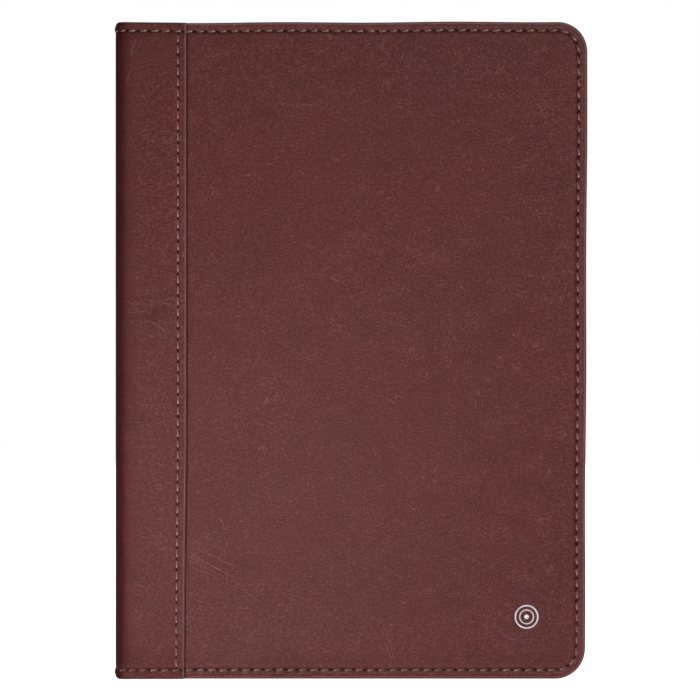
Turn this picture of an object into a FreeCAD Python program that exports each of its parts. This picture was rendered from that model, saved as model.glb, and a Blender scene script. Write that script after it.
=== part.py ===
import FreeCAD
import Part
import os

# Coin album that stands upright: +Z up, front cover towards -Y, spine at -X.
# The origin is under the middle of the closed album. All sizes are millimetres.

# Overall sizes of the closed album
album_width = 158.0
album_height = 220.0
album_thickness = 30.0

# Layers of a cover, from the outside in
wrap_thickness = 1.0
leather_thickness = 1.0
padding_thickness = 1.2
board_thickness = 1.4
lining_thickness = 0.4

# Cover outline
corner_radius = 10.0
turned_edge_width = 4.5
lining_inset = 1.2
wrap_width = 23.5

# Leather hinge between the spine and each cover
pivot_depth = 1.7
hinge_gap = 3.0
hinge_straight = 0.3

# Spine
spine_board_thickness = 2.0

# Leaf block
leaf_count = 10
cover_square = 5.0
block_clearance = 0.2
post_head_thickness = 0.8
flange_thickness = 1.0
flange_foot_gap = 3.0
tab_thickness = 0.5
tab_width = 14.0
tab_clearance = 0.2
crease_gap = 0.3
core_thickness = 0.3
pocket_thickness = 0.45
gutter_width = 4.0
pocket_rows = 6
pocket_edge_margin = 1.2
pocket_row_gap = 0.8
pocket_side_margin = 0.8

# Binding posts and their screws
post_count = 3
post_end_distance = 35.0
post_radius = 2.5
post_head_radius = 4.5
post_end_gap = 0.6
post_hole_clearance = 0.1
thread_radius = 1.5
thread_clearance = 0.1
thread_depth = 12.0
screw_length = 11.0
screw_slot_width = 0.9
screw_slot_depth = 0.4

# Emblem pressed on the front cover: rings given as outer and inner radius
emblem_from_fore_edge = 20.2
emblem_from_base = 20.9
emblem_thickness = 0.15
emblem_rings = ((4.0, 3.5), (2.5, 2.1), (0.8, 0.0))

# Places worked out from the sizes above
spine_outer_x = -album_width / 2
fore_edge_x = album_width / 2
front_y = -album_thickness / 2
pivot_x = spine_outer_x + pivot_depth
pivot_y = front_y + pivot_depth
cover_near_x = pivot_x + hinge_gap
spine_half_width = -pivot_y - hinge_gap
hinge_outer_radius = pivot_depth + hinge_gap - hinge_straight
hinge_thickness = wrap_thickness + lining_thickness
leather_y = front_y + wrap_thickness
padding_y = leather_y + leather_thickness
board_y = padding_y + padding_thickness
lining_y = board_y + board_thickness
cover_inner_y = lining_y + lining_thickness
spine_board_x = spine_outer_x + wrap_thickness
spine_lining_x = spine_board_x + spine_board_thickness
spine_inner_x = spine_lining_x + lining_thickness
flange_y = cover_inner_y + block_clearance + post_head_thickness
stack_y = flange_y + flange_thickness
tab_x = spine_inner_x + flange_thickness + tab_clearance
tab_end_x = tab_x + tab_width
crease_x = tab_end_x + crease_gap / 2
leaf_end_x = fore_edge_x - cover_square
leaf_height = album_height - 2 * cover_square
stack_thickness = -2 * stack_y
spacer_thickness = (stack_thickness - leaf_count * tab_thickness) / (leaf_count + 1)
leaf_pitch = tab_thickness + spacer_thickness
post_x = tab_x + tab_width / 2
post_pitch = (album_height - 2 * post_end_distance) / (post_count - 1)
post_places = [post_end_distance + i * post_pitch for i in range(post_count)]


def box(x0, x1, y0, y1, z0, z1):
    return Part.makeBox(x1 - x0, y1 - y0, z1 - z0, FreeCAD.Vector(x0, y0, z0))


def rod(radius, x, y0, y1, z):
    return Part.makeCylinder(radius, y1 - y0, FreeCAD.Vector(x, y0, z), FreeCAD.Vector(0, 1, 0))


def mirrored(shape):
    """The same piece on the back of the album."""
    return shape.mirror(FreeCAD.Vector(0, 0, 0), FreeCAD.Vector(0, 1, 0))


def arc(centre, radius, first, middle, last):
    """An arc about the centre; first, middle and last are unit vectors from it to points of the arc."""
    return Part.Arc(centre + first * radius, centre + middle * radius, centre + last * radius).toShape()


def line(a, b):
    return Part.LineSegment(a, b).toShape()


def cover_plate(y0, y1, inset):
    """A plate as tall as the cover less the inset, square at the hinge and rounded at the fore edge."""
    r = corner_radius - inset
    x1 = fore_edge_x - inset
    z0 = inset
    z1 = album_height - inset
    right = FreeCAD.Vector(1, 0, 0)
    up = FreeCAD.Vector(0, 0, 1)
    half = 0.5**0.5
    low = FreeCAD.Vector(x1 - r, y0, z0 + r)
    high = FreeCAD.Vector(x1 - r, y0, z1 - r)
    near_low = FreeCAD.Vector(cover_near_x, y0, z0)
    near_high = FreeCAD.Vector(cover_near_x, y0, z1)
    edges = [
        line(near_low, low - up * r),
        arc(low, r, -up, (right - up) * half, right),
        line(low + right * r, high + right * r),
        arc(high, r, right, (right + up) * half, up),
        line(high + up * r, near_high),
        line(near_high, near_low),
    ]
    return Part.Face(Part.Wire(edges)).extrude(FreeCAD.Vector(0, y1 - y0, 0))


# Covers. Each function makes the front piece.


def cover_leather():
    """The padded leather with its turned edge, open towards the lining and at the hinge."""
    whole = cover_plate(leather_y, lining_y, 0.0)
    hollow = cover_plate(padding_y, lining_y, turned_edge_width)
    return whole.cut(hollow)


def cover_padding():
    return cover_plate(padding_y, board_y, turned_edge_width)


def cover_board():
    return cover_plate(board_y, lining_y, turned_edge_width)


def cover_lining():
    return cover_plate(lining_y, cover_inner_y, lining_inset)


def spine_wrap():
    """The part of the spine's leather that lies on the cover."""
    return box(cover_near_x, spine_outer_x + wrap_width, front_y, leather_y, 0, album_height)


def hinge_leather():
    """The soft corner of the spine's leather with its lining, from the cover to the spine board."""
    right = FreeCAD.Vector(1, 0, 0)
    back = FreeCAD.Vector(0, 1, 0)
    half = 0.5**0.5
    inner_radius = hinge_outer_radius - hinge_thickness
    centre = FreeCAD.Vector(spine_outer_x + hinge_outer_radius, front_y + hinge_outer_radius, 0)
    cover_end = FreeCAD.Vector(cover_near_x, front_y, 0)
    cover_end_inside = cover_end + back * hinge_thickness
    spine_end = FreeCAD.Vector(spine_outer_x, -spine_half_width, 0)
    spine_end_inside = spine_end + right * hinge_thickness
    diagonal = (right + back) * -half
    edges = [
        line(cover_end, centre - back * hinge_outer_radius),
        arc(centre, hinge_outer_radius, -back, diagonal, -right),
        line(centre - right * hinge_outer_radius, spine_end),
        line(spine_end, spine_end_inside),
        line(spine_end_inside, centre - right * inner_radius),
        arc(centre, inner_radius, -right, diagonal, -back),
        line(centre - back * inner_radius, cover_end_inside),
        line(cover_end_inside, cover_end),
    ]
    return Part.Face(Part.Wire(edges)).extrude(FreeCAD.Vector(0, 0, album_height))


def emblem():
    """Rings that stand a little proud of the front leather."""
    x = fore_edge_x - emblem_from_fore_edge
    rings = []
    for outer, inner in emblem_rings:
        ring = rod(outer, x, leather_y - emblem_thickness, leather_y, emblem_from_base)
        if inner > 0:
            ring = ring.cut(rod(inner, x, leather_y - emblem_thickness, leather_y, emblem_from_base))
        rings.append(ring)
    return Part.Compound(rings)


# Spine


def spine_leather():
    return box(spine_outer_x, spine_board_x, -spine_half_width, spine_half_width, 0, album_height)


def spine_board():
    """Stiff board behind the leather, as tall as the cover boards; the hinge leather covers its sides."""
    half = spine_half_width
    low = turned_edge_width
    return box(spine_board_x, spine_lining_x, -half, half, low, album_height - low)


def spine_lining():
    half = spine_half_width
    low = turned_edge_width
    return box(spine_lining_x, spine_inner_x, -half, half, low, album_height - low)


# Binding


def drilled(shape, y0, y1):
    """The shape with a hole for each binding post."""
    for z in post_places:
        shape = shape.cut(rod(post_radius + post_hole_clearance, post_x, y0, y1, z))
    return shape


def binding_flange():
    """Plate with a foot along the spine, which clamps the leaves."""
    z0 = cover_square
    z1 = album_height - cover_square
    plate = box(spine_inner_x, tab_end_x, flange_y, stack_y, z0, z1)
    foot = box(spine_inner_x, spine_inner_x + flange_thickness, stack_y, -flange_foot_gap, z0, z1)
    return drilled(plate.fuse(foot).removeSplitter(), flange_y, stack_y)


def leaf_y(index):
    """Middle of a leaf's thickness, counted from the front."""
    return stack_y + spacer_thickness + tab_thickness / 2 + index * leaf_pitch


def strip(y0, y1):
    """One clamped strip between the flanges, with its post holes."""
    return drilled(box(tab_x, tab_end_x, y0, y1, cover_square, album_height - cover_square), y0, y1)


def leaf_tabs():
    half = tab_thickness / 2
    return Part.Compound([strip(leaf_y(i) - half, leaf_y(i) + half) for i in range(leaf_count)])


def spacer_strips():
    starts = [stack_y + i * leaf_pitch for i in range(leaf_count + 1)]
    return Part.Compound([strip(y, y + spacer_thickness) for y in starts])


def binding_posts():
    """Threaded sleeves whose heads rest on the front flange."""
    posts = []
    for z in post_places:
        head = rod(post_head_radius, post_x, flange_y - post_head_thickness, flange_y, z)
        sleeve = rod(post_radius, post_x, flange_y, -flange_y - post_end_gap, z)
        bore_end = -flange_y - post_end_gap
        bore = rod(thread_radius + thread_clearance, post_x, bore_end - thread_depth, bore_end, z)
        posts.append(head.fuse(sleeve).removeSplitter().cut(bore))
    return Part.Compound(posts)


def post_screws():
    """Slotted screws whose heads rest on the back flange."""
    screws = []
    outer_y = -flange_y + post_head_thickness
    for z in post_places:
        head = rod(post_head_radius, post_x, -flange_y, outer_y, z)
        shank = rod(thread_radius, post_x, -flange_y - screw_length, -flange_y, z)
        half = screw_slot_width / 2
        reach = post_head_radius
        slot = box(post_x - reach, post_x + reach, outer_y - screw_slot_depth, outer_y, z - half, z + half)
        screws.append(head.fuse(shank).removeSplitter().cut(slot))
    return Part.Compound(screws)


# Leaves


def leaf_core(index):
    """Dark middle sheet, from the crease at its tab to the fore edge."""
    y = leaf_y(index)
    half = core_thickness / 2
    z0 = cover_square
    return box(crease_x + crease_gap / 2, leaf_end_x, y - half, y + half, z0, z0 + leaf_height)


def leaf_pockets(index):
    """Rows of flat coin pockets on both sides of the core, each row one plain strip."""
    y = leaf_y(index)
    half = core_thickness / 2
    row_pitch = (leaf_height - 2 * pocket_edge_margin) / pocket_rows
    x0 = crease_x + gutter_width
    x1 = leaf_end_x - pocket_side_margin
    rows = []
    for row in range(pocket_rows):
        z0 = cover_square + pocket_edge_margin + row * row_pitch
        z1 = z0 + row_pitch - pocket_row_gap
        rows.append(box(x0, x1, y - half - pocket_thickness, y - half, z0, z1))
        rows.append(box(x0, x1, y + half, y + half + pocket_thickness, z0, z1))
    return Part.Compound(rows)


nodes = {
    "spine_leather": spine_leather(),
    "spine_board": spine_board(),
    "spine_lining": spine_lining(),
    "front_binding_flange": binding_flange(),
    "back_binding_flange": mirrored(binding_flange()),
    "leaf_tabs": leaf_tabs(),
    "spacer_strips": spacer_strips(),
    "binding_posts": binding_posts(),
    "post_screws": post_screws(),
    "cover_emblem": emblem(),
}
cover_pieces = {
    "cover_leather": cover_leather,
    "cover_padding": cover_padding,
    "cover_board": cover_board,
    "cover_lining": cover_lining,
    "spine_wrap": spine_wrap,
    "hinge_leather": hinge_leather,
}
for piece_name, make_piece in cover_pieces.items():
    nodes["front_" + piece_name] = make_piece()
    nodes["back_" + piece_name] = mirrored(make_piece())
for leaf in range(leaf_count):
    nodes[f"leaf_{leaf + 1:02d}_core"] = leaf_core(leaf)
    nodes[f"leaf_{leaf + 1:02d}_pockets"] = leaf_pockets(leaf)

os.makedirs("parts", exist_ok=True)
for name, shape in nodes.items():
    shape.exportStep(f"parts/{name}.step")
print(len(nodes), "nodes; leaf pitch", round(leaf_pitch, 3), "crease x", round(crease_x, 3))
print("pivot", round(pivot_x, 3), round(pivot_y, 3))
print("leaf middles", [round(leaf_y(i), 3) for i in range(leaf_count)])
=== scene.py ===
import math

import bmesh
import bpy
import numpy as np
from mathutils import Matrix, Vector


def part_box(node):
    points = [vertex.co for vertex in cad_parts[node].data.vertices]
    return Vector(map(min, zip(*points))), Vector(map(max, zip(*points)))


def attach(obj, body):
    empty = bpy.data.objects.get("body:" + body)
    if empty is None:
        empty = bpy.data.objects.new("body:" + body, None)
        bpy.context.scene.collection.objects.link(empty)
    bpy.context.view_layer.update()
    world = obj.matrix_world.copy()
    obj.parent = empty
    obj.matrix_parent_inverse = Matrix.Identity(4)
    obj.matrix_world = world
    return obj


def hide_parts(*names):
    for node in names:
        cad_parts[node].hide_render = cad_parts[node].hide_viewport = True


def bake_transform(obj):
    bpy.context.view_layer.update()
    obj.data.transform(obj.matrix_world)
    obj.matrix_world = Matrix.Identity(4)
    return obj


# Coin album: leather covers and spine wrap, stitching, cloth linings, pocket leaves and binding hardware.
# Lengths are written in millimetres and scaled once, when a mesh is made; only the studio's are in metres.

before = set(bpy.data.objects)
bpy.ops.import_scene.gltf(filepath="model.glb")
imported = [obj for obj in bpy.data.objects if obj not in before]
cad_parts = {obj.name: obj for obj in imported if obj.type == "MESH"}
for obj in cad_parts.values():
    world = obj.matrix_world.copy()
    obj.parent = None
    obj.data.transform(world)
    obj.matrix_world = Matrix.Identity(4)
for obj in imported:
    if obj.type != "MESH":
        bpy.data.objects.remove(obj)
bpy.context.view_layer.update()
mm = 0.001
print("frame loaded:", len(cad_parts), "nodes")


def boxMm(node):
    # lowest and highest corner of a CAD node, in millimetres
    low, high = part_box(node)
    return np.array(low) / mm, np.array(high) / mm


def smooth(value, low, high):
    # 0 below low, 1 above high, and 3t^2 - 2t^3 between them
    t = np.clip((value - low) / (high - low), 0, 1)
    return t * t * (3 - 2 * t)


def bell(value, middle, width):
    # exp of minus the squared distance from middle, in widths
    return np.exp(-(((value - middle) / width) ** 2))


def gridFaces(rows, columns, start=0, closed=False):
    # quads between neighbours on a grid of vertices; closed joins the last column to the first
    r = np.arange(rows - 1)[:, None]
    c = np.arange(columns if closed else columns - 1)[None, :]
    n = (c + 1) % columns
    corners = [r * columns + c, r * columns + n, (r + 1) * columns + n, (r + 1) * columns + c]
    return np.stack(corners, -1).reshape(-1, 4) + start


def newObject(name, data):
    # an object in the scene, at the origin, for a mesh, a lamp or a camera
    made = bpy.data.objects.new(name, data)
    bpy.context.scene.collection.objects.link(made)
    return made


def makePiece(name, points, faces, maps=None):
    # a smooth mesh object from points in millimetres; maps holds one (u, v) pair per vertex for each UV map
    mesh = bpy.data.meshes.new(name)
    mesh.from_pydata((np.asarray(points).reshape(-1, 3) * mm).tolist(), [], [list(f) for f in faces])
    corners = np.empty(len(mesh.loops), int)
    mesh.loops.foreach_get("vertex_index", corners)
    for mapName, values in (maps or {}).items():
        layer = mesh.uv_layers.new(name=mapName)
        layer.data.foreach_set("uv", np.asarray(values, float).reshape(-1, 2)[corners].ravel())
    work = bmesh.new()
    work.from_mesh(mesh)
    bmesh.ops.recalc_face_normals(work, faces=work.faces)
    work.to_mesh(mesh)
    work.free()
    mesh.polygons.foreach_set("use_smooth", np.ones(len(mesh.polygons), bool))
    print(name, len(mesh.vertices), "points")
    return newObject(name, mesh)


def shellFaces(rows, columns):
    # a closed shell: an outer grid, an inner grid after it, and a strip along each of the four borders
    count = rows * columns
    index = np.arange(count).reshape(rows, columns)
    border = np.concatenate([index[0, :-1], index[:-1, -1], index[-1, :0:-1], index[:0:-1, 0]])
    after = np.roll(border, -1)
    outer = gridFaces(rows, columns)
    inner = gridFaces(rows, columns, count)[:, ::-1]
    strip = np.stack([border, border + count, after + count, after], -1)
    return np.concatenate([outer, inner, strip])


def makeSheet(name, outer, inner, maps=None):
    # one closed shell between two grids of points, which share each map, with sharp rims
    both = {key: np.stack([value] * 2) for key, value in (maps or {}).items()}
    piece = makePiece(name, np.stack([outer, inner]), shellFaces(*outer.shape[:2]), both)
    piece.data.set_sharp_from_angle(angle=math.radians(50))
    return piece


class Wire:
    # a value in a shader: arithmetic on it adds Math nodes
    def __init__(self, finish, socket):
        self.finish = finish
        self.socket = socket

    def maths(self, operation, first, second=0.0):
        return self.finish.add("ShaderNodeMath", {"operation": operation}, {0: first, 1: second})

    def also(self, output):
        # another output of the same node
        return Wire(self.finish, self.socket.node.outputs[output])

    def fraction(self):
        return self.maths("FRACT", self)

    def root(self):
        return self.maths("SQRT", self)

    def sine(self):
        return self.maths("SINE", self)

    def larger(self, other):
        return self.maths("MAXIMUM", self, other)

    def smaller(self, other):
        return self.maths("MINIMUM", self, other)

    def __abs__(self):
        return self.maths("ABSOLUTE", self)

    def __add__(self, other):
        return self.maths("ADD", self, other)

    def __sub__(self, other):
        return self.maths("SUBTRACT", self, other)

    def __rsub__(self, other):
        return self.maths("SUBTRACT", other, self)

    def __mul__(self, other):
        return self.maths("MULTIPLY", self, other)

    def __truediv__(self, other):
        return self.maths("DIVIDE", self, other)

    __radd__ = __add__
    __rmul__ = __mul__


class Finish:
    # a material, or the world's light, being made: add() puts in any node by its type, settings and sockets
    def __init__(self, name, kind="materials"):
        self.made = getattr(bpy.data, kind).new(name)
        self.made.use_nodes = True
        self.tree = self.made.node_tree
        self.tree.nodes.clear()

    def add(self, kind, settings=None, sockets=None, output=0):
        node = self.tree.nodes.new(kind)
        for key, value in (settings or {}).items():
            setattr(node, key, value)
        for key, value in (sockets or {}).items():
            if isinstance(value, Wire):
                self.tree.links.new(value.socket, node.inputs[key])
            else:
                node.inputs[key].default_value = value
        return None if output is None else Wire(self, node.outputs[output])

    def place(self):
        # the point on the object, in millimetres
        return self.vector("SCALE", self.add("ShaderNodeTexCoord", output="Object"), 1 / mm)

    def stretched(self, point, turn, size):
        # the point turned and scaled, for a pattern with a direction
        return self.add("ShaderNodeMapping", {}, {"Vector": point, "Rotation": turn, "Scale": size})

    def parts(self, point):
        # the three numbers of a point
        split = self.add("ShaderNodeSeparateXYZ", {}, {0: point})
        return split, split.also("Y"), split.also("Z")

    def pair(self, mapName):
        # the two numbers of a UV map
        return self.parts(self.add("ShaderNodeUVMap", {"uv_map": mapName}))[:2]

    def vector(self, operation, first, second, output=0):
        # one Vector Math node; second is a vector, or the number that SCALE takes
        key = "Scale" if operation == "SCALE" else 1
        return self.add("ShaderNodeVectorMath", {"operation": operation}, {0: first, key: second}, output)

    def noise(self, point, scale, detail=2.0, roughness=0.5, output="Fac"):
        # soft random values of about 0.3 to 0.7, scale of them to a millimetre
        sockets = {"Vector": point, "Scale": scale, "Detail": detail, "Roughness": roughness}
        return self.add("ShaderNodeTexNoise", {}, sockets, output)

    def moved(self, point, by, amount):
        # the point pushed about by a noise colour, up to half of amount each way
        push = self.vector("SCALE", self.vector("SUBTRACT", by, (0.5, 0.5, 0.5)), amount)
        return self.vector("ADD", point, push)

    def cells(self, point, scale, low, high):
        # rounded cells: 0 near the border between two, 1 further in, by the distance to the border
        sockets = {"Vector": point, "Scale": scale}
        border = self.add("ShaderNodeTexVoronoi", {"feature": "DISTANCE_TO_EDGE"}, sockets)
        return self.step(border, low, high)

    def step(self, value, low, high):
        # 0 below low, 1 above high and a smooth step between; low above high turns it round
        sockets = {0: value, 1: low, 2: high}
        return self.add("ShaderNodeMapRange", {"interpolation_type": "SMOOTHSTEP"}, sockets)

    def mix(self, share, first, second):
        # the first colour where share is 0, the second where it is 1
        return self.add("ShaderNodeMix", {"data_type": "RGBA"}, {0: share, 6: first, 7: second}, 2)

    def surface(self, height=None, **sockets):
        # the closing Principled shader; height is the bump in millimetres
        named = {name.replace("_", " "): value for name, value in sockets.items()}
        if height is not None:
            bump = {"Strength": 1.0, "Distance": mm, "Height": height}
            named["Normal"] = self.add("ShaderNodeBump", {}, bump)
        shader = self.add("ShaderNodeBsdfPrincipled", {}, named)
        self.add("ShaderNodeOutputMaterial", {}, {"Surface": shader}, None)
        return self.made


leatherLook = {
    "deep": (0.085, 0.0065, 0.006, 1),
    "warm": (0.099, 0.008, 0.0075, 1),
    # colour of wear on the folds and of the painted highlights on the grain, rims, slopes, puckers and the
    # wrap's cut edge
    "wornAndHighlight": (0.3, 0.135, 0.128, 1),
    # colour of the painted shade on the hinge, in the rim crease, in the stitch groove and at the wrap's foot
    "dark": (0.02, 0.003, 0.003, 1),
    # colour of the painted shade in the needle holes
    "hole": (0.004, 0.001, 0.001, 1),
    "roughness": 0.5,
    "gloss": 0.33,
    "speckShare": 0.235,
    "wrinkleShare": 0.3,
    "pebbleShare": 0.02,
    "grainDepth": 0.035,
    "fibreDepth": 0.06,
    "swell": 0.12,
    "foldShare": 0.6,
    "foldDepth": 0.12,
    "holeDepth": 0.45,
    "seamDepth": 0.16,
    "puckerHighlightShare": 0.35,
    "grooveShadeShare": 0.08,
    "cutEdgeHighlightShare": 0.7,
    "footShadeShare": 0.85,
    "footDepth": 0.25,
    "creaseShadeShare": 0.22,
    "rimInset": 0.6,
    "rimHighlightShare": 0.6,
    "bandHighlightShare": 0.09,
    "slopeHighlightShare": 0.045,
}

# folds pressed into the front by handling: ends (x, z, x, z), width and depth in millimetres
wrapFolds = [
    (-71.7, 214.7, -74.0, 207.5, 0.13, 1.0),
    (-69.9, 214.6, -71.6, 210.6, 0.12, 0.7),
    (-73.4, 206.5, -75.6, 198.0, 0.14, 0.5),
    (-75.0, 126.9, -71.6, 125.3, 0.13, 0.7),
    (-64.9, 126.8, -59.9, 125.2, 0.13, 0.9),
    (-62.8, 126.6, -59.2, 128.4, 0.12, 0.6),
    (-75.0, 123.4, -69.1, 123.0, 0.12, 0.6),
    (-67.5, 120.5, -60.7, 115.3, 0.13, 0.9),
    (-65.5, 118.2, -62.0, 112.8, 0.12, 0.6),
    (-75.0, 118.4, -72.0, 120.3, 0.13, 0.6),
    (-73.5, 100.5, -66.5, 95.0, 0.14, 0.45),
    (-70.5, 52.0, -63.0, 46.0, 0.14, 0.5),
    (-73.0, 33.0, -66.0, 28.5, 0.14, 0.5),
]
coverFolds = [
    (-54.8, 42.9, -38.5, 33.8, 0.14, 1.0),
    (-54.4, 40.6, -41.0, 33.4, 0.13, 0.9),
    (-53.3, 44.2, -36.3, 36.8, 0.13, 0.85),
    (-53.7, 38.4, -42.6, 32.4, 0.12, 0.75),
    (-54.6, 41.6, -44.5, 36.4, 0.12, 0.8),
    (-52.5, 46.6, -49.5, 44.2, 0.13, 0.6),
    (-38.9, 32.2, -30.3, 26.0, 0.13, 0.7),
    (-34.5, 30.5, -28.5, 27.6, 0.12, 0.45),
    (-54.5, 27.5, -46.0, 24.0, 0.13, 0.5),
    (-54.6, 22.6, -48.8, 24.6, 0.12, 0.45),
    (-27.0, 193.5, -8.0, 191.0, 0.15, 0.4),
    (-24.0, 189.6, -12.0, 187.4, 0.13, 0.35),
    (50.0, 16.2, 53.2, 13.4, 0.13, 0.9),
    (53.0, 13.6, 56.4, 12.5, 0.12, 0.8),
    (58.0, 188.0, 66.0, 191.5, 0.15, 0.3),
]


def foldMask(finish, point, folds):
    # for each fold, 1 on its line and 0 beyond 2.2 widths from it, fading towards its two ends
    x, y, z = finish.parts(point)
    flat = finish.add("ShaderNodeCombineXYZ", {}, {0: x, 1: z})
    total = 0.0
    for x0, z0, x1, z1, width, depth in folds:
        run = (x1 - x0, z1 - z0, 0.0)
        off = finish.vector("SUBTRACT", flat, (x0, z0, 0.0))
        share = finish.vector("DOT_PRODUCT", off, run, "Value") / (run[0] ** 2 + run[1] ** 2)
        share = finish.add("ShaderNodeClamp", {}, {0: share})
        gap = finish.vector("DISTANCE", off, finish.vector("SCALE", run, share), "Value")
        fade = share * (1.0 - share) * 4.0
        total = finish.step(gap, width * 2.2, 0.0) * fade * depth + total
    return total * finish.step(y, frontY + 6.0, frontY + 4.0)


edgeHole = {"lean": 24, "long": 0.56, "wide": 0.26}
seamHole = {"lean": 15, "long": 0.45, "wide": 0.3}


def needleHoles(finish, mapName, pitch, inset, shape):
    # leaning ovals at each whole number of pitches along the map, by the distance to their middle in radii;
    # also the dip round each and the distance from the line
    along, across = finish.pair(mapName)
    side = across - inset
    run = ((along / pitch + 0.5).fraction() - 0.5) * pitch
    angle = math.radians(shape["lean"])
    first = (run * math.cos(angle) - side * math.sin(angle)) / shape["long"]
    second = (run * math.sin(angle) + side * math.cos(angle)) / shape["wide"]
    reach = (first * first + second * second).root()
    return finish.step(reach, 1.15, 0.7), finish.step(reach, 2.8, 0.5), side


def ridges(finish, point, scale, thin):
    # thin wandering lines where a noise crosses its middle value
    return finish.step(abs(finish.noise(point, scale, 2.0, 0.55) - 0.5), thin, 0.0)


def grain(finish, point):
    # specks, rounded pebbles and short wrinkles that fall or climb in patches; also broad soft clouds
    loose = finish.moved(point, finish.noise(point, 0.12, 2.0, output="Color"), 9.0)
    speck = finish.step(finish.noise(point, 1.9, 2.0, 0.6), 0.5, 0.62)
    pebble = finish.cells(loose, 1.1, 0.02, 0.3)
    fall = ridges(finish, finish.stretched(loose, (0.0, 0.75, 0.0), (0.22, 0.6, 0.8)), 1.0, 0.035)
    climb = ridges(finish, finish.stretched(loose, (0.0, -0.35, 0.0), (0.26, 0.6, 0.95)), 1.1, 0.03)
    cloud = finish.noise(point, 0.13, 3.0, 0.6)
    patch = finish.noise(point, 0.035, 2.0, 0.5)
    wrinkle = fall * finish.step(cloud, 0.42, 0.62) + climb * finish.step(cloud, 0.58, 0.4)
    return speck, pebble, wrinkle, cloud, patch


def leather(name, folds, seam=False, footLine=False):
    # a deep colour with painted highlights on the grain, round the needle holes and along the rim, light wear
    # on pressed folds, and painted shade in the stitch line, on the hinge and at the foot of the wrap's edge
    look = leatherLook
    finish = Finish(name)
    point = finish.place()
    x, z = finish.parts(point)[::2]
    speck, pebble, wrinkle, cloud, patch = grain(finish, point)
    colour = finish.mix(finish.step(patch * 0.5 + cloud * 0.5, 0.35, 0.65), look["deep"], look["warm"])
    # painted highlight and grain tone: the grain's specks, wrinkles and pebbles are lightened as glints
    light = speck * look["speckShare"] + wrinkle * look["wrinkleShare"] + pebble * look["pebbleShare"]
    height = (pebble + speck) * look["grainDepth"] + wrinkle * look["fibreDepth"] + cloud * look["swell"]
    hole, dip, side = needleHoles(finish, "edgeMap", edgePitch, stitchInset, edgeHole)
    height = height - dip * look["holeDepth"]
    if seam:
        hole2, dip2, seamSide = needleHoles(finish, "seamMap", seamPitch, seamInset, seamHole)
        across = seamSide + seamInset
        # painted shade where the wrap turns round the hinge: the grain's painted glints fade there and the
        # colour darkens, and the spine beyond is darkened a little
        roll = finish.step(across, flatRun + hingeRun + 4.0, flatRun + hingeRun - 0.5)
        light = light * (1.0 - finish.step(across, flatRun - 4.0, flatRun + 2.5) * roll * 0.9)
        colour = finish.mix(light, colour, look["wornAndHighlight"])
        hole = hole.larger(hole2)
        height = height - dip2 * look["seamDepth"]
        shade = finish.step(across, flatRun - 2.0, flatRun + 4.5) * (roll * 0.3 + 0.1)
        colour = finish.mix(shade, colour, look["dark"])
        # painted highlight along the wrap's rounded cut edge
        colour = finish.mix(finish.step(across, 0.62, 0.2) * look["cutEdgeHighlightShare"], colour, look["wornAndHighlight"])
    else:
        colour = finish.mix(light, colour, look["wornAndHighlight"])
    if folds:
        bent = finish.moved(point, finish.noise(point, 0.16, 2.0, output="Color"), 3.0)
        marks = foldMask(finish, bent, folds)
        colour = finish.mix(marks * look["foldShare"], colour, look["wornAndHighlight"])
        height = height + marks * look["foldDepth"]
    inset = side + stitchInset
    # painted highlight on the padding's rise just inside the bottom stitches
    puff = finish.step(side, 0.2, 0.7) * finish.step(side, 3.0, 0.9) * finish.step(z, 9.0, 5.0)
    colour = finish.mix(puff * (speck * 0.1 + 0.12), colour, look["wornAndHighlight"])
    if footLine:
        # painted shade at the foot of the wrap's edge, where the cover leather meets it, with a bump dip
        drift = finish.step(z, wrapShape["driftTop"], 0.0) * wrapShape["drift"]
        foot = finish.step(abs(x + drift - wrapEdgeX - 0.2), 0.5, 0.14)
        colour = finish.mix(foot * look["footShadeShare"], colour, look["dark"])
        height = height - foot * look["footDepth"]
        # painted shade in the crease line pressed in near the edge
        crease = finish.step(abs(inset - coverShape["edgeLine"]), 0.24, 0.0)
        colour = finish.mix(crease * look["creaseShadeShare"], colour, look["dark"])
        # painted highlight along the rounded rim, near the edge
        rim = finish.step(abs(inset - look["rimInset"]), 0.32, 0.08)
        colour = finish.mix(rim * (speck * 0.15 + look["rimHighlightShare"]), colour, look["wornAndHighlight"])
        # painted highlight on the padding's slope just inside the stitches, and a painted highlight growing
        # towards the bottom
        slope = finish.step(side, 0.3, 0.9) * finish.step(side, 3.6, 1.2) + finish.step(z, 42.0, 2.0)
        colour = finish.mix(slope * look["slopeHighlightShare"], colour, look["wornAndHighlight"])
        # painted highlight on the rim band outside the stitches, growing towards the top and the fore edge
        band = finish.step(side, 0.3, -0.5) * finish.step(z + x * 0.9, 20.0, 90.0)
        colour = finish.mix(band * look["bandHighlightShare"], colour, look["wornAndHighlight"])
    square = side * side
    # painted shade along the middle of the stitch groove
    colour = finish.mix(finish.step(square, 0.6, 0.0) * look["grooveShadeShare"], colour, look["dark"])
    # painted highlight on the puckered leather round each needle hole
    pucker = dip * finish.step(square, 1.2, 0.25) * finish.step(speck + cloud, 0.3, 0.9)
    colour = finish.mix(pucker * look["puckerHighlightShare"], colour, look["wornAndHighlight"])
    # painted shade: the needle holes are coloured near black
    colour = finish.mix(hole, colour, look["hole"])
    rough = look["roughness"] + pebble * 0.06 + patch * 0.1 - light * 0.35 + hole * 0.4
    return finish.surface(height, Base_Color=colour, Roughness=rough, Specular_IOR_Level=look["gloss"])


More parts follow.
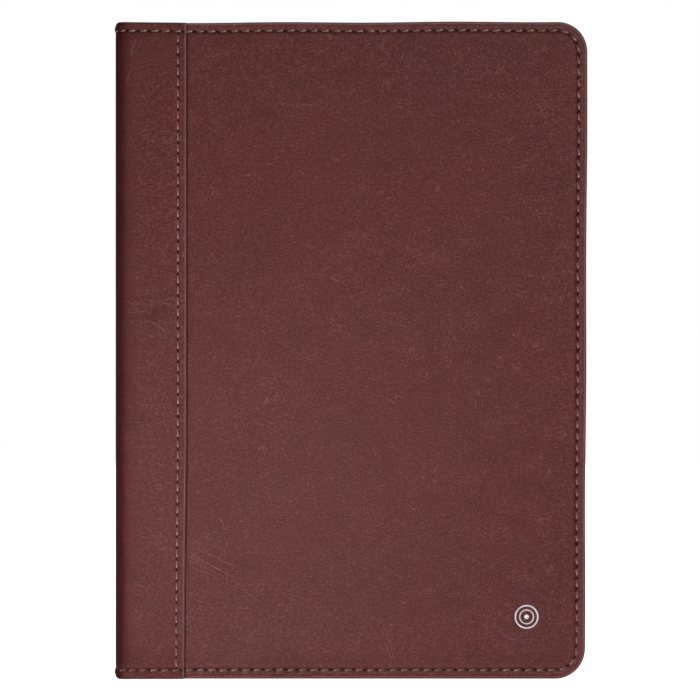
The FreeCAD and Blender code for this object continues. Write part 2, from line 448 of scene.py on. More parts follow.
# dark and light colour of each plainer finish
shades = {
    "edgeThread": ((0.09, 0.022, 0.02, 1), (0.7, 0.42, 0.38, 1)),
    "seamThread": ((0.12, 0.04, 0.036, 1), (0.85, 0.58, 0.54, 1)),
    "liningCloth": ((0.02, 0.005, 0.005, 1), (0.07, 0.02, 0.018, 1)),
    "blackSheet": ((0.009, 0.009, 0.01, 1), (0.03, 0.03, 0.032, 1)),
    "brass": ((0.36, 0.24, 0.09, 1), (0.62, 0.46, 0.2, 1)),
    "silverFoil": ((0.72, 0.72, 0.73, 1), (0.86, 0.86, 0.87, 1)),
    "blackLacquer": ((0.012, 0.012, 0.013, 1), (0.06, 0.058, 0.055, 1)),
    "greyBoard": ((0.14, 0.13, 0.115, 1), (0.3, 0.28, 0.25, 1)),
    "blackFibre": ((0.012, 0.012, 0.012, 1), (0.045, 0.043, 0.04, 1)),
}


def thread(name, pitch):
    # waxed two-ply thread: diagonal strands, as a sine of the map along and around it, with a painted
    # highlight where a stitch starts
    finish = Finish(name)
    along, around = finish.pair("threadMap")
    strand = (along * 7.0 + around * (2 * math.pi)).sine() * 0.5 + 0.5
    fuzz = finish.noise(finish.place(), 4.0, 3.0)
    # painted highlight on the thread just after each needle hole, where a stitch starts
    stitchHighlight = finish.step((along / pitch).fraction(), 0.55, 0.2) * 0.65
    colour = finish.mix(strand * 0.25 + fuzz * 0.25 + stitchHighlight, *shades[name])
    return finish.surface(strand * 0.05 + fuzz * 0.02, Base_Color=colour, Roughness=0.6 - strand * 0.12)


def woven(name, pitch):
    # plain weave: crossed waves of warp and weft at one pitch, with slubs
    finish = Finish(name)
    point = finish.place()
    x, z = finish.parts(point)[::2]
    turn = 2 * math.pi / pitch
    cross = (x * turn).sine() * (z * turn).sine() * 0.5 + 0.5
    slub = finish.noise(finish.stretched(point, (0.0, 0.0, 0.0), (0.2, 1.0, 2.5)), 1.0, 3.0)
    patch = finish.noise(point, 0.06, 2.0)
    colour = finish.mix(cross * 0.5 + slub * 0.3 + patch * 0.2, *shades[name])
    return finish.surface(
        cross * 0.05 + slub * 0.03, Base_Color=colour, Roughness=0.82 - patch * 0.1, Sheen_Weight=0.2
    )


def sheetPlastic(name, rough):
    # matt plastic with a fine leather-like embossing and faint rub marks
    finish = Finish(name)
    point = finish.place()
    emboss = finish.cells(point, 2.0, 0.0, 0.2)
    rub = finish.noise(finish.stretched(point, (0.0, 0.3, 0.0), (0.05, 1.0, 0.6)), 1.0, 3.0)
    colour = finish.mix(rub * 0.7 + emboss * 0.3, *shades[name])
    return finish.surface(emboss * 0.006, Base_Color=colour, Roughness=rough + rub * 0.15)


def clearFilm():
    # soft clear film: nearly invisible over each pocket, frosted along the welds and the cut edge
    finish = Finish("clearFilm")
    across, up = finish.pair("pocketMap")
    cell = across.fraction()
    weld = finish.step(cell.smaller(1.0 - cell).smaller(up), 0.045, 0.03)
    lip = finish.step(up, 0.965, 0.985)
    hatch = ((across + up) * 190.0).sine() * 0.5 + 0.5
    haze = finish.noise(finish.place(), 0.08, 3.0)
    clear = haze * 0.07 + 0.04 + weld * (hatch * 0.16 + 0.12) + lip * 0.3
    rough = 0.12 + weld * 0.3 + haze * 0.08
    return finish.surface(
        weld * hatch * 0.05 + haze * 0.2, Base_Color=(0.82, 0.84, 0.85, 1), Roughness=rough, Alpha=clear
    )


def metal(name, rough, bands):
    # turned or rolled metal: fine lines along one direction and soft tarnish
    finish = Finish(name)
    point = finish.place()
    lines = finish.noise(finish.stretched(point, (0.0, 0.0, 0.0), bands), 1.0, 3.0, 0.7)
    tarnish = finish.noise(point, 0.4, 3.0)
    colour = finish.mix(finish.step(tarnish, 0.35, 0.7), *shades[name])
    return finish.surface(
        lines * 0.01, Base_Color=colour, Metallic=1.0, Roughness=rough + lines * 0.15 + tarnish * 0.1
    )


def lacquer(name):
    # stoved lacquer on sheet steel, with a faint orange peel and dust
    finish = Finish(name)
    point = finish.place()
    peel = finish.noise(point, 0.9, 2.0)
    dust = finish.noise(point, 0.15, 4.0)
    colour = finish.mix(finish.step(dust, 0.5, 0.8) * 0.3, *shades[name])
    return finish.surface(peel * 0.02, Base_Color=colour, Roughness=0.3 + dust * 0.2)


def fibreBoard(name):
    # pressed board: pulp flecks and soft layers
    finish = Finish(name)
    point = finish.place()
    fleck = finish.noise(finish.stretched(point, (0.3, 0.2, 0.0), (0.6, 2.0, 1.2)), 1.2, 4.0, 0.7)
    patch = finish.noise(point, 0.1, 2.0)
    colour = finish.mix(fleck * 0.7 + patch * 0.3, *shades[name])
    return finish.surface(fleck * 0.05, Base_Color=colour, Roughness=0.85 - fleck * 0.1)


def dress(material, *nodes):
    # gives CAD nodes a finish
    for node in nodes:
        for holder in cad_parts[node].material_slots:
            holder.link = "OBJECT"
            holder.material = material


# measures that several pieces share
leatherLow, leatherHigh = boxMm("front_cover_leather")
spineX = boxMm("spine_leather")[0][0]
frontY = boxMm("front_spine_wrap")[0][1]
wrapOver = 0.35  # the wrap's sewn edge lies this much past the CAD one
wrapEdgeX = boxMm("front_spine_wrap")[1][0] + wrapOver
albumTop = leatherHigh[2]
foreX = leatherHigh[0]
hingeX = leatherLow[0]
cornerRadius = 10.0
stitchInset = 3.0
stitchLength = 3.8
seamStitches = 60
seamInset = 2.7

# one perimeter stitch line: along the bottom, round both fore-edge corners, and back along the top
straightRun = foreX - cornerRadius - spineX
sideRun = albumTop - 2 * cornerRadius
bendRun = (cornerRadius - stitchInset) * math.pi / 2
edgeRun = 2 * straightRun + sideRun + 2 * bendRun
edgePitch = edgeRun / round(edgeRun / stitchLength)
seamPitch = albumTop / seamStitches


handCut = {
    "lean": 0.95,
    "upright": 0.62,
    "foreWander": 0.1,
    "topRise": 0.42,
    "topWander": 0.12,
    "topDrop": 0.1,
}


def handMade(points):
    # a hand-cut outline: the fore edge leans with height and wanders as a sine, and the top edge rises
    # towards it and wanders too
    s = handCut
    x = points[..., 0]
    z = points[..., 2]
    share = (x - spineX) / (foreX - spineX)
    up = z / albumTop
    lean = s["lean"] * (up - s["upright"]) * share**2 + s["foreWander"] * np.sin(z / 13.0) * share**4
    lift = (s["topRise"] * share - s["topWander"] * np.sin(x / 9.0 + 1.0) - s["topDrop"]) * up**8
    moved = np.array(points, float)
    moved[..., 0] = x + lean
    moved[..., 2] = z + lift
    return moved


def onSide(points, side):
    # the same piece on the back cover: y changes sign
    moved = np.array(points, float)
    moved[..., 1] = moved[..., 1] * side
    return moved


coverShape = {
    "outerRoll": 0.9,
    "innerRoll": 0.7,
    "rim": 2.5,
    "rimRise": 0.12,
    "edgeLine": 1.15,
    "edgeLineWidth": 0.17,
    "edgeLineDepth": 0.1,
    "grooveDepth": 0.28,
    "grooveWidth": 0.8,
    "padding": 0.85,
    "paddingRun": 1.8,
    "crown": 0.4,
    "sway": 0.07,
    "turnedIn": 6.0,
    "ringDepth": 8.0,
    "middleInset": 18.0,
    "step": 1.6,
    "cornerSteps": 24,
}


def leatherRise(inset, x, z):
    # height of the outer leather above the lining: a rim, a stitch groove, then padding
    # that rises exponentially to a flat top with a quartic crown and a faint sine sway
    s = coverShape
    rise = s["rim"] + s["rimRise"] * smooth(inset, 0.9, 2.2)
    rise = rise - s["grooveDepth"] * bell(inset, stitchInset, s["grooveWidth"])
    beyond = np.maximum(inset - stitchInset - 0.2, 0)
    rise = rise + s["padding"] * (1 - np.exp(-beyond / s["paddingRun"]))
    middleX = (hingeX + foreX) / 2
    middleZ = albumTop / 2
    u = (x - middleX) / (foreX - middleX)
    v = (z - middleZ) / middleZ
    rise = rise + s["crown"] * np.maximum((1 - u**4) * (1 - v**4), 0)
    return rise + s["sway"] * np.sin(x / 17 + 0.6) * np.sin(z / 23 + 1.1) * smooth(inset, 3, 12)


def offsetOutline(inset, counts):
    # the cover's outline moved inwards, counterclockwise from the lower hinge corner, as (x, z) columns
    bottom, corner, side = counts
    arcX = foreX - cornerRadius
    r = cornerRadius - inset
    along = np.linspace(0, 1, bottom + 1)
    up = np.linspace(0, 1, side + 1)[1:]
    turn = np.radians(np.linspace(0, 90, corner + 1)[1:])
    down = np.linspace(1, 0, side + corner + 1)[1:-1]
    lowX = (hingeX + inset) * (1 - along) + arcX * along
    x = [lowX, arcX + r * np.sin(turn), 0 * up + foreX - inset, arcX + r * np.cos(turn), lowX[::-1][1:]]
    x.append(0 * down + hingeX + inset)
    z = [0 * lowX + inset, cornerRadius - r * np.cos(turn)]
    z.append(cornerRadius + up * (albumTop - 2 * cornerRadius))
    z.append(albumTop - cornerRadius + r * np.sin(turn))
    z.append(0 * lowX[1:] + albumTop - inset)
    z.append(inset + down * (albumTop - 2 * inset))
    return np.concatenate(x), np.concatenate(z)


def edgeDistance(counts):
    # running distance along the perimeter stitch line for each column of the outline
    bottom, corner, side = counts
    x = offsetOutline(stitchInset, counts)[0]
    low = x[: bottom + 1] - spineX
    bend = np.linspace(0, bendRun, corner + 1)[1:]
    rise = np.linspace(0, sideRun, side + 1)[1:]
    top = edgeRun - (x[bottom + 2 * corner + side + 1 : 2 * bottom + 2 * corner + side + 1] - spineX)
    left = np.full(side + corner - 1, edgeRun)
    firstBend = straightRun + bend
    secondBend = straightRun + bendRun + sideRun + bend
    return np.concatenate([low, firstBend, straightRun + bendRun + rise, secondBend, top, left])


def coverRings(counts, innerX, innerZ):
    # rings from the turned-in margin, round the edge and inwards over the padding, closing in on a middle
    # rectangle; also each ring's distance from the edge
    s = coverShape
    ground = leatherHigh[1]
    rollIn = np.radians(np.linspace(0, 90, 4))
    rollOut = np.radians(np.linspace(0, 90, 6))
    under = [(d, 0.0) for d in (s["turnedIn"], 4.0, 2.5, 1.4)]
    under += [(s["innerRoll"] * (1 - np.sin(a)), s["innerRoll"] * (1 - np.cos(a))) for a in rollIn]
    wallTop = s["rim"] - s["outerRoll"]
    under += [(0.0, wallTop * 0.65)]
    under += [(s["outerRoll"] * (1 - np.cos(a)), wallTop + s["outerRoll"] * np.sin(a)) for a in rollOut[:-1]]
    padded = np.linspace(4.8, s["ringDepth"], 6)
    over = np.concatenate([np.arange(0.9, 1.6, 0.1), np.arange(1.7, 4.6, 0.22), padded])
    rings = []
    distances = []
    for d, rise in under:
        x, z = offsetOutline(d, counts)
        rings.append(np.stack([x, 0 * x + ground - rise, z], -1))
        distances.append(np.full(x.size, d if rise >= wallTop else -d))
    for d in over:
        x, z = offsetOutline(d, counts)
        pressed = s["edgeLineDepth"] * bell(d, s["edgeLine"], s["edgeLineWidth"])
        rings.append(np.stack([x, ground - leatherRise(d, x, z) + pressed, z], -1))
        distances.append(np.full(x.size, d))
    x0, z0 = offsetOutline(over[-1], counts)
    for share in (0.15, 0.32, 0.5, 0.68, 0.85):
        x = x0 + (innerX - x0) * share
        z = z0 + (innerZ - z0) * share
        d = over[-1] + (s["middleInset"] - over[-1]) * share
        rings.append(np.stack([x, ground - leatherRise(d, x, z), z], -1))
        distances.append(np.full(x.size, d))
    return np.array(rings), np.array(distances)


def coverLeather(side, name):
    # the rings joined to a middle grid, and closed underneath by one flat face
    s = coverShape
    inset = s["middleInset"]
    corner = s["cornerSteps"]
    bottom = int((foreX - hingeX - 2 * inset) / s["step"])
    height = int((albumTop - 2 * inset) / s["step"])
    lineX = np.linspace(hingeX + inset, foreX - inset, bottom + corner // 2 + 1)
    lineZ = np.linspace(inset, albumTop - inset, height + corner + 1)
    counts = (bottom, corner, height)
    gridZ, gridX = np.meshgrid(lineZ, lineX, indexing="ij")
    middle = np.stack([gridX, leatherHigh[1] - leatherRise(inset, gridX, gridZ), gridZ], -1).reshape(-1, 3)
    index = np.arange(gridX.size).reshape(gridX.shape)
    border = np.concatenate([index[0], index[1:, -1], index[-1, ::-1][1:], index[1:-1, 0][::-1]])
    rings, distances = coverRings(counts, middle[border, 0], middle[border, 2])
    rows, columns = distances.shape
    start = rows * columns
    last = np.arange(start - columns, start)
    join = np.stack([last, np.roll(last, -1), np.roll(border, -1) + start, border + start], -1)
    faces = gridFaces(rows, columns, closed=True).tolist() + join.tolist()
    faces += gridFaces(*gridX.shape, start).tolist() + [list(range(columns))[::-1]]
    points = np.concatenate([rings.reshape(-1, 3), middle])
    runs = np.tile(edgeDistance(counts), (rows, 1))
    edgeMap = np.stack([runs, distances], -1).reshape(-1, 2)
    edgeMap = np.concatenate([edgeMap, np.full((gridX.size, 2), inset)])
    return makePiece(name, onSide(handMade(points), side), faces, {"edgeMap": edgeMap})


wrapShape = {
    "seamDip": 0.12,
    "seamWidth": 0.55,
    "edgeDip": 0.2,
    "edgeDipRun": 1.2,
    "edgeRound": 0.32,
    "edgeDrop": 0.45,
    "endRound": 0.7,
    "endDrop": 0.56,
    "thick": 0.9,
    "hingeThick": 1.3,
    "spineBulge": 0.35,
    "spineBand": 0.28,
    "spineGroove": 0.5,
    "cornerRadius": 1.4,
    "cornerRun": 3.0,
    "drift": 0.75,
    "driftTop": 95.0,
    "hingeSlack": 0.3,
    "flatStep": 0.75,
    "rowStep": 1.7,
}
hingeRadius = hingeX - spineX - wrapShape["hingeSlack"]
hingeStart = spineX + hingeRadius
flatRun = wrapEdgeX - hingeStart
hingeRun = hingeRadius * math.pi / 2
wrapRun = flatRun + hingeRun - frontY - hingeRadius


def wrapPlace(t, z, above):
    # along t: flat over the cover, a quarter turn round the hinge, then down the spine to its middle line;
    # the surface stands off that path by the cover's own profile near each end, a dip under the seam,
    # a thin free edge and a parabolic bulge across the spine
    s = wrapShape
    t, z, above = np.broadcast_arrays(np.asarray(t, float), np.asarray(z, float), above)
    end = np.minimum(z, albumTop - z)
    turn = np.clip((t - flatRun) / hingeRadius, 0, math.pi / 2)
    down = np.maximum(t - flatRun - hingeRun, 0)
    x = wrapEdgeX - np.minimum(t, flatRun)
    cover = leatherRise(end, x, z) + s["thick"] - (-frontY + leatherHigh[1])
    profile = s["spineBand"] * (1 - smooth(end, 2.6, 3.6)) - s["spineGroove"] * bell(end, stitchInset, 0.6)
    onFlat = cover - s["seamDip"] * bell(t, seamInset, s["seamWidth"])
    onFlat = onFlat - s["edgeDip"] * np.exp(-t / s["edgeDipRun"])
    edge = np.clip(1 - t / s["edgeRound"], 0, 1)
    onFlat = onFlat - s["edgeDrop"] * (1 - np.sqrt(1 - edge**2))
    across = np.clip(down / (-frontY - hingeRadius), 0, 1)
    onSpine = profile + s["spineBulge"] * (1 - (1 - across) ** 2)
    out = onFlat + (onSpine - onFlat) * smooth(t, flatRun - 2, flatRun + hingeRun + 1)
    close = np.clip(1 - end / s["endRound"], 0, 1)
    out = out - s["endDrop"] * (1 - np.sqrt(1 - close**2)) + above
    drift = s["drift"] * (1 - smooth(z, 0, s["driftTop"])) * np.clip(1 - t / flatRun, 0, 1)
    px = x - drift - (hingeRadius + out) * np.sin(turn)
    py = frontY + hingeRadius - (hingeRadius + out) * np.cos(turn) + down
    r = s["cornerRadius"]
    reach = np.clip((spineX + r - px) / r, 0, 1)
    drop = r * (1 - np.sqrt(1 - reach**2)) * np.exp(-end / s["cornerRun"])
    pz = z + np.where(z < albumTop / 2, drop, -drop)
    return np.stack([px, py, pz], -1)


def wrapHalf(side, name):
    # the outer surface and the same surface a leather's thickness below it, as one closed shell
    s = wrapShape
    fine = np.concatenate([[0, 0.04, 0.1, 0.18, 0.32, 0.6, 1.0, 1.5], np.arange(1.8, 3.9, 0.22)])
    flat = np.linspace(4.3, flatRun, int((flatRun - 4.3) / s["flatStep"]))
    bend = np.linspace(flatRun, flatRun + hingeRun, 13)[1:]
    back = np.linspace(flatRun + hingeRun, wrapRun, 12)[1:]
    t = np.concatenate([fine, flat, bend, back])
    near = [0, 0.06, 0.16, 0.3, 0.5, 0.7, 0.85, 1.0, 1.15, 1.3, 1.5, 1.75]
    low = np.concatenate([near, np.arange(2.0, 4.4, 0.22), np.linspace(4.6, 9.0, 7)])
    high = albumTop - low[::-1]
    middle = np.linspace(low[-1], high[0], int((high[0] - low[-1]) / s["rowStep"]))[1:-1]
    z = np.concatenate([low, middle, high])
    gridT, gridZ = np.meshgrid(t, z)
    hinge = smooth(gridT, flatRun - 1, flatRun + 2) * (1 - smooth(gridT, flatRun + 6, flatRun + 9))
    thick = s["thick"] + (s["hingeThick"] - s["thick"]) * hinge
    outer = onSide(handMade(wrapPlace(gridT, gridZ, 0.0)), side)
    inner = onSide(handMade(wrapPlace(gridT, gridZ, -thick)), side)
    end = np.minimum(gridZ, albumTop - gridZ)
    run = wrapEdgeX - spineX - gridT
    run = np.where(gridZ < albumTop / 2, run, edgeRun - run)
    maps = {"edgeMap": np.stack([run, end], -1), "seamMap": np.stack([gridZ, gridT], -1)}
    return makeSheet(name, outer, inner, maps)


def onWrapEdge(run, inset, above):
    # a point of the perimeter stitch line where it crosses the wrap and the spine
    lower = run < edgeRun / 2
    t = wrapEdgeX - spineX - np.where(lower, run, edgeRun - run)
    return handMade(wrapPlace(t, np.where(lower, inset, albumTop - inset), above))


def onWrapSeam(run, inset, above):
    # a point of the straight seam beside the wrap's free edge
    return handMade(wrapPlace(inset, run, above))


def onCoverEdge(run, inset, above):
    # a point of the perimeter stitch line on the cover, by its running distance
    r = cornerRadius
    first = np.clip((run - straightRun) / (r - stitchInset), 0, math.pi / 2)
    second = np.clip((run - straightRun - bendRun - sideRun) / (r - stitchInset), 0, math.pi / 2)
    side = np.clip(run - straightRun - bendRun, 0, sideRun)
    top = np.maximum(run - straightRun - 2 * bendRun - sideRun, 0)
    turn = first + second
    x = spineX + np.minimum(run, straightRun) + (r - inset) * np.sin(turn) - top
    z = r - (r - inset) * np.cos(turn) + side
    rise = leatherRise(inset, x, z) + above
    return handMade(np.stack([x, leatherHigh[1] - rise, z], -1))


stitchShape = {"sink": 0.5, "taper": 0.35, "wander": 0.05, "stations": 7, "sides": 6}
edgeStitch = {"radius": 0.27, "gap": 0.75, "slant": 0.5, "lift": 0.08, "inset": stitchInset}
seamStitch = {"radius": 0.17, "gap": 0.4, "slant": 0.15, "lift": 0.12, "inset": seamInset}


def threadRun(name, place, first, last, pitch, stitch, side):
    # one short bent tube a stitch: it rises as 1 - x^4 out of one needle hole, crosses on a slant and sinks
    # into the next
    s = stitchShape
    along = np.linspace(0, 1, s["stations"])[None, :]
    count = last - first
    number = np.arange(first, last)[:, None]
    run = number * pitch + stitch["gap"] + along * (pitch - 2 * stitch["gap"])
    across = stitch["inset"] + stitch["slant"] * (along - 0.5) + 0 * run
    wander = s["wander"] * np.sin(number * 2.3 + 0.7)
    above = stitch["lift"] - s["sink"] * (2 * along - 1) ** 4 + wander + 0 * run
    line = place(run, across, above)
    up = place(run, across, above + 0.1) - line
    ahead = np.gradient(line, axis=1)
    ahead = ahead / np.linalg.norm(ahead, axis=-1, keepdims=True)
    beside = np.cross(up, ahead)
    beside = beside / np.linalg.norm(beside, axis=-1, keepdims=True)
    up = np.cross(ahead, beside)
    around = np.arange(s["sides"]) / s["sides"]
    angle = 2 * math.pi * around[None, None, :, None]
    width = stitch["radius"] * (1 - s["taper"] * (2 * along - 1) ** 4)[..., None, None]
    rings = line[:, :, None] + width * (np.cos(angle) * beside[:, :, None] + np.sin(angle) * up[:, :, None])
    tube = gridFaces(s["stations"], s["sides"], closed=True)
    size = s["stations"] * s["sides"]
    starts = (np.arange(count) * size)[:, None, None]
    faces = (tube[None] + starts).reshape(-1, 4).tolist()
    cap = np.arange(s["sides"])
    faces += (cap[::-1][None] + starts[:, 0]).tolist()
    faces += (cap[None] + starts[:, 0] + size - s["sides"]).tolist()
    distance = np.broadcast_to(run[..., None], rings.shape[:3])
    threadMap = np.stack([distance, np.broadcast_to(around, rings.shape[:3])], -1)
    return makePiece(name, onSide(rings, side), faces, {"threadMap": threadMap})


liningShape = {
    "radius": 8.8,
    "step": 3.0,
    "ridge": 0.13,
    "ridgeAt": 6.0,
    "inset": 1.2,
    "round": 0.25,
    "roundRun": 0.35,
    "sag": 0.1,
}


def roundedGrid(low, high, radius, step):
    # columns across x and rows up z; near the fore edge the rows close in along a quarter circle
    bend = radius * (1 - np.cos(np.linspace(0, math.pi / 2, 9)))
    x = [high[0] - bend, np.linspace(high[0] - radius, low[0], int((high[0] - low[0]) / step))[1:]]
    x = np.concatenate(x)[::-1]
    rim = np.array([0, 0.1, 0.25, 0.6, 1.2, 2.5, 4.0, 5.0, 5.6, 6.2, 7.0])
    span = high[1] - low[1]
    middle = np.linspace(rim[-1], span - rim[-1], int(span / step))
    up = np.concatenate([rim[:-1], middle, span - rim[:-1][::-1]]) / span
    reach = np.clip((x - high[0] + radius) / radius, 0, 1)
    cut = radius * (1 - np.sqrt(1 - reach**2))
    gridX = np.broadcast_to(x, (len(up), len(x)))
    gridZ = low[1] + cut + up[:, None] * (span - 2 * cut)
    return gridX, gridZ


def thinSheet(name, gridX, gridZ, outside, inside):
    # a closed sheet between two heights in y over one grid of x and z
    return makeSheet(name, np.stack([gridX, outside, gridZ], -1), np.stack([gridX, inside, gridZ], -1))


def coverLining(side, name):
    # cloth pasted over the inside, thinner at its rim, with the edge of the turned-in leather showing through
    s = liningShape
    low, high = boxMm("front_cover_lining")
    gridX, gridZ = roundedGrid(low[[0, 2]], high[[0, 2]], s["radius"], s["step"])
    gap = np.minimum(np.minimum(gridZ, albumTop - gridZ), foreX - gridX)
    thin = s["round"] * np.exp(-(gap - s["inset"]) / s["roundRun"])
    ridge = s["ridge"] * smooth(gap, s["ridgeAt"] - 0.6, s["ridgeAt"] + 0.8)
    inside = np.full_like(gridX, high[1]) - thin - ridge
    outside = np.full_like(gridX, low[1])
    return thinSheet(name, gridX, gridZ, outside * side, inside * side)


def spineLining(name):
    # a strip of the same cloth down the inside of the spine, fuller by a quartic in its middle
    full = liningShape["sag"]
    low, high = boxMm("spine_lining")
    y, z = np.meshgrid(np.linspace(low[1], high[1], 9), np.linspace(low[2], high[2], 60))
    inside = high[0] - full * (y / high[1]) ** 4
    return makeSheet(name, np.stack([0 * y + low[0], y, z], -1), np.stack([inside, y, z], -1))


leafShape = {
    "count": 10,
    "bend": 4.1,
    "radius": 4.0,
    "step": 4.0,
    "rows": 6,
    "pockets": 4,
    "pocketHeight": 33.8,
    "film": 0.07,
    "gap": 0.02,
    "pillow": 0.36,
    "notch": 4.5,
    "notchWidth": 0.2,
    "columns": 10,
    "heights": 8,
}


def leafCore(number, name):
    # a thin black sheet with rounded outer corners
    s = leafShape
    low, high = boxMm("leaf_%02d_core" % number)
    start = boxMm("leaf_tabs")[1][0]
    corner = np.array([start, low[2]])
    gridX, gridZ = roundedGrid(corner, high[[0, 2]], s["radius"], s["step"])
    ones = np.ones_like(gridX)
    return thinSheet(name, gridX, gridZ, ones * low[1], ones * high[1])


def leafPockets(number, name):
    # rows of clear pockets on both faces; each pocket is a sine pillow over its welds, open along a top edge
    # that dips as a half ellipse for the thumb
    s = leafShape
    low, high = boxMm("leaf_%02d_pockets" % number)
    core = boxMm("leaf_%02d_core" % number)
    middle = (low[1] + high[1]) / 2
    half = (core[1][1] - core[0][1]) / 2
    tall = s["pocketHeight"]
    pitch = (high[2] - low[2] - tall) / (s["rows"] - 1)
    across = np.linspace(0, s["pockets"], s["pockets"] * s["columns"] + 1)
    up = np.concatenate([[0, 0.045], np.linspace(0.1, 0.97, s["heights"] - 2), [1.0]])
    cell = across - np.minimum(np.floor(across), s["pockets"] - 1)
    notch = s["notch"] * np.sqrt(np.clip(1 - ((cell - 0.5) / s["notchWidth"]) ** 2, 0, 1))
    gridU, gridV = np.meshgrid(across, up)
    x = low[0] + gridU * (high[0] - low[0]) / s["pockets"]
    puff = np.sin(math.pi * np.clip((cell - 0.04) / 0.92, 0, 1)) ** 0.6
    puff = puff[None] * np.sin(math.pi / 2 * np.clip((gridV - 0.045) / 0.4, 0, 1)) ** 0.8
    stand = half + s["gap"] + s["pillow"] * puff * (1 - 0.25 * gridV)
    strips = []
    for row in range(s["rows"]):
        z = low[2] + row * pitch + gridV * (tall - notch[None])
        for face in (-1, 1):
            outer = np.stack([x, middle + face * (stand + s["film"]), z], -1)
            inner = np.stack([x, middle + face * stand, z], -1)
            strips.append(np.stack([outer, inner]))
    one = shellFaces(len(up), len(across))
    size = 2 * len(up) * len(across)
    faces = np.concatenate([one + size * i for i in range(len(strips))])
    pocketMap = np.stack([gridU, gridV], -1)
    maps = {"pocketMap": np.stack([np.stack([pocketMap] * 2)] * len(strips))}
    return makePiece(name, np.stack(strips), faces, maps)


emblemShape = {
    "centre": (58.8, 20.9),
    "rings": [(4.0, 3.5), (2.5, 2.1), (0.8, 0.0)],  # outer and inner radius
    "height": 0.13,
    "sunk": 0.25,
    "around": 72,
    "across": 9,
}


def coverEmblem(name):
    # plain rings: a rounded bead's profile turned about the emblem's middle, lying on the crowned leather
    s = emblemShape
    turn = np.linspace(0, 2 * math.pi, s["around"] + 1)[:-1]
    profile = np.linspace(0, math.pi, s["across"])
    quarter = profile[: s["across"] // 2 + 1][::-1]
    points = []
    faces = []
    for outer, inner in s["rings"]:
        middle = (outer + inner) / 2
        half = (outer - inner) / 2
        if inner == 0:
            r = outer * np.sin(quarter)
            rise = s["height"] * np.cos(quarter) ** 0.6
        else:
            r = middle - half * np.cos(profile)
            rise = s["height"] * np.sin(profile) ** 0.6
        r = np.concatenate([r, r[::-1]])
        rise = np.concatenate([rise, 0 * rise - s["sunk"]])
        gridR, gridA = np.meshgrid(r, turn)
        x = s["centre"][0] + gridR * np.cos(gridA)
        z = s["centre"][1] + gridR * np.sin(gridA)
        ground = leatherHigh[1] - leatherRise(coverShape["middleInset"], x, z)
        start = sum(len(p) for p in points)
        points.append(np.stack([x, ground - rise, z], -1).reshape(-1, 3))
        index = gridFaces(len(turn) + 1, len(r), 0, True) % (len(turn) * len(r))
        faces += (index + start).tolist()
    piece = makePiece(name, np.concatenate(points), faces)
    work = bmesh.new()
    work.from_mesh(piece.data)
    bmesh.ops.remove_doubles(work, verts=work.verts, dist=1e-7)
    bmesh.ops.dissolve_degenerate(work, edges=work.edges, dist=1e-7)
    bmesh.ops.recalc_face_normals(work, faces=work.faces)
    work.to_mesh(piece.data)
    work.free()
    return piece


# finishes
frontLeather = leather("burgundyLeatherFront", coverFolds, footLine=True)
backLeather = leather("burgundyLeatherBack", None, footLine=True)
wrapLeather = leather("burgundyLeatherWrap", wrapFolds, seam=True)
edgeThread = thread("edgeThread", edgePitch)
seamThread = thread("seamThread", seamPitch)
liningCloth = woven("liningCloth", pitch=0.5)
blackSheet = sheetPlastic("blackSheet", rough=0.5)
film = clearFilm()
blackLacquer = lacquer("blackLacquer")
brass = metal("brass", rough=0.22, bands=(0.3, 6.0, 0.3))
silverFoil = metal("silverFoil", rough=0.3, bands=(3.0, 1.0, 3.0))
greyBoard = fibreBoard("greyBoard")
blackFibre = fibreBoard("blackFibre")
print("finishes made:", len(bpy.data.materials))


# covers, wrap halves, stitching and linings
stitchEnd = round(edgeRun / edgePitch)
wrapFirst = math.ceil((wrapEdgeX - spineX - wrapRun) / edgePitch)
wrapLast = math.floor((wrapEdgeX - spineX) / edgePitch)
for title, side in (("front", 1), ("back", -1)):
    cover = title + "_cover"
    hide = coverLeather(side, title + "CoverLeather")
    hide.data.materials.append(frontLeather if side == 1 else backLeather)
    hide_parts(cover + "_leather", cover + "_padding")
    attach(hide, cover)

    lining = coverLining(side, title + "CoverLining")
    lining.data.materials.append(liningCloth)
    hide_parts(cover + "_lining")
    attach(lining, cover)

    stitches = threadRun(
        title + "CoverStitching", onCoverEdge, wrapLast, stitchEnd - wrapLast, edgePitch, edgeStitch, side
    )
    stitches.data.materials.append(edgeThread)
    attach(stitches, cover)

    wrap = wrapHalf(side, title + "SpineWrap")
    wrap.data.materials.append(wrapLeather)
    halves = [title + "_spine_wrap", title + "_hinge_leather"]
    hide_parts(*halves, *(["spine_leather"] if side == 1 else []))
    foot = (wrapFirst, wrapLast)
    head = (stitchEnd - wrapLast, stitchEnd - wrapFirst)
    lower = threadRun(title + "WrapFootStitching", onWrapEdge, *foot, edgePitch, edgeStitch, side)
    upper = threadRun(title + "WrapHeadStitching", onWrapEdge, *head, edgePitch, edgeStitch, side)
    line = (1, seamStitches - 1)
    seam = threadRun(title + "SeamStitching", onWrapSeam, *line, seamPitch, seamStitch, side)
    for piece in (lower, upper, seam):
        piece.data.materials.append(seamThread if piece is seam else edgeThread)
    for piece in (wrap, lower, upper, seam):
        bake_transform(piece)

cloth = spineLining("spineLiningCloth")
cloth.data.materials.append(liningCloth)
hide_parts("spine_lining")
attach(cloth, "spine_block")

# leaves
for number in range(1, leafShape["count"] + 1):
    body = "leaf_%02d" % number
    sheetPiece = leafCore(number, "leafCore%02d" % number)
    sheetPiece.data.materials.append(blackSheet)
    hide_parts(body + "_core")
    pocketPiece = leafPockets(number, "leafPockets%02d" % number)
    pocketPiece.data.materials.append(film)
    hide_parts(body + "_pockets")
    for piece in (sheetPiece, pocketPiece):
        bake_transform(piece)
print("leaves made:", number)

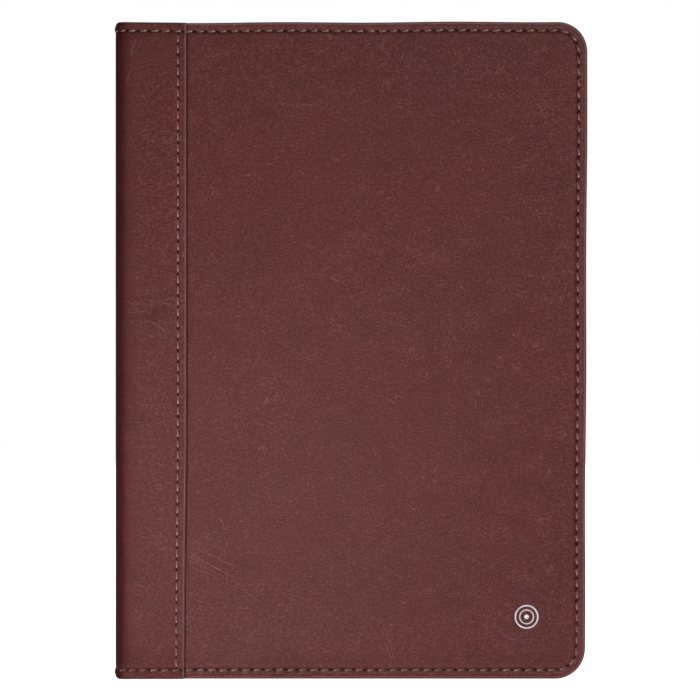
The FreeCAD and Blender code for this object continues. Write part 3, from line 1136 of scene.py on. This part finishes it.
rings = coverEmblem("coverEmblemRings")
rings.data.materials.append(silverFoil)
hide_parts("cover_emblem")
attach(rings, "front_cover")

dress(greyBoard, "spine_board", "front_cover_board", "back_cover_board")
dress(blackLacquer, "front_binding_flange", "back_binding_flange")
dress(blackSheet, "leaf_tabs")
dress(blackFibre, "spacer_strips")
dress(brass, "binding_posts", "post_screws")

studio = {  # each light has a name, a place, the point it faces, a size and a power in watts
    "distance": 0.978,
    "frontPlane": -0.012,
    "aimX": -0.0003,
    "aimZ": 0.1102,
    "lens": 150,
    "worldLight": 0.035,
    "floorSize": 2.5,
    "floorGlow": 0.96,
    "floorGrey": (0.5, 0.5, 0.5, 1),
    "worldGloss": 0.3,
    "lights": [
        ("keyLight", (0.55, -1.35, 0.5), (0, 0, 0.1), 1.0, 10.5),
        ("lowLight", (-0.06, -0.25, 0.02), (-0.03, 0, 0.05), 0.05, 0.31),
        ("fillLight", (0.0, -1.5, 1.2), (0, 0, 0.1), 0.9, 0.8),
        ("topLight", (0.2, 0.5, 1.6), (0, 0, 0.1), 1.4, 6),
        ("backLight", (0.5, 1.5, 0.7), (0, 0, 0.1), 1.2, 26),
        ("spineLight", (-1.3, 1.0, 0.5), (0, 0, 0.1), 1.0, 8),
    ],
}


def softLight(name, place, aim, size, power):
    # a square area light at a place, turned to face another
    lamp = bpy.data.lights.new(name, "AREA")
    lamp.shape = "SQUARE"
    lamp.size = size
    lamp.energy = power
    holder = newObject(name, lamp)
    holder.location = place
    holder.visible_camera = False
    holder.rotation_euler = (Vector(aim) - Vector(place)).to_track_quat("-Z", "Y").to_euler()
    return holder


def makeStudio():
    # camera, lights, a pale floor and a room that are bright to the camera and dim as light
    s = studio
    camera = bpy.data.cameras.new("camera")
    camera.lens = s["lens"]
    camera.sensor_width = 36
    camera.clip_end = 20
    holder = newObject("camera", camera)
    holder.location = (s["aimX"], s["frontPlane"] - s["distance"], s["aimZ"])
    holder.rotation_euler = (math.pi / 2, 0, 0)
    bpy.context.scene.camera = holder

    for name, place, aim, size, power in s["lights"]:
        softLight(name, place, aim, size, power).visible_glossy = name != "spineLight"

    half = s["floorSize"]
    floor = makePiece(
        "floor",
        np.array([(-half, -half, 0), (half, -half, 0), (half, half, 0), (-half, half, 0)]) / mm,
        [(0, 1, 2, 3)],
    )
    paper = Finish("floorPaper")
    glow = paper.mix(paper.add("ShaderNodeLightPath"), (0, 0, 0, 1), (1, 1, 1, 1))
    floor.data.materials.append(
        paper.surface(
            Base_Color=s["floorGrey"], Roughness=0.9, Emission_Color=glow, Emission_Strength=s["floorGlow"]
        )
    )

    room = Finish("studioRoom", "worlds")
    seen = room.add("ShaderNodeLightPath")
    mirrored = seen.also("Is Glossy Ray")
    strength = seen * (1 - s["worldLight"]) + s["worldLight"]
    strength = strength * (1.0 - mirrored * (1 - s["worldGloss"]))
    glow = room.add("ShaderNodeBackground", {}, {"Color": (1, 1, 1, 1), "Strength": strength})
    room.add("ShaderNodeOutputWorld", {}, {"Surface": glow}, None)
    bpy.context.scene.world = room.made
    bpy.context.scene.view_settings.view_transform = "Standard"


makeStudio()
print("studio made")
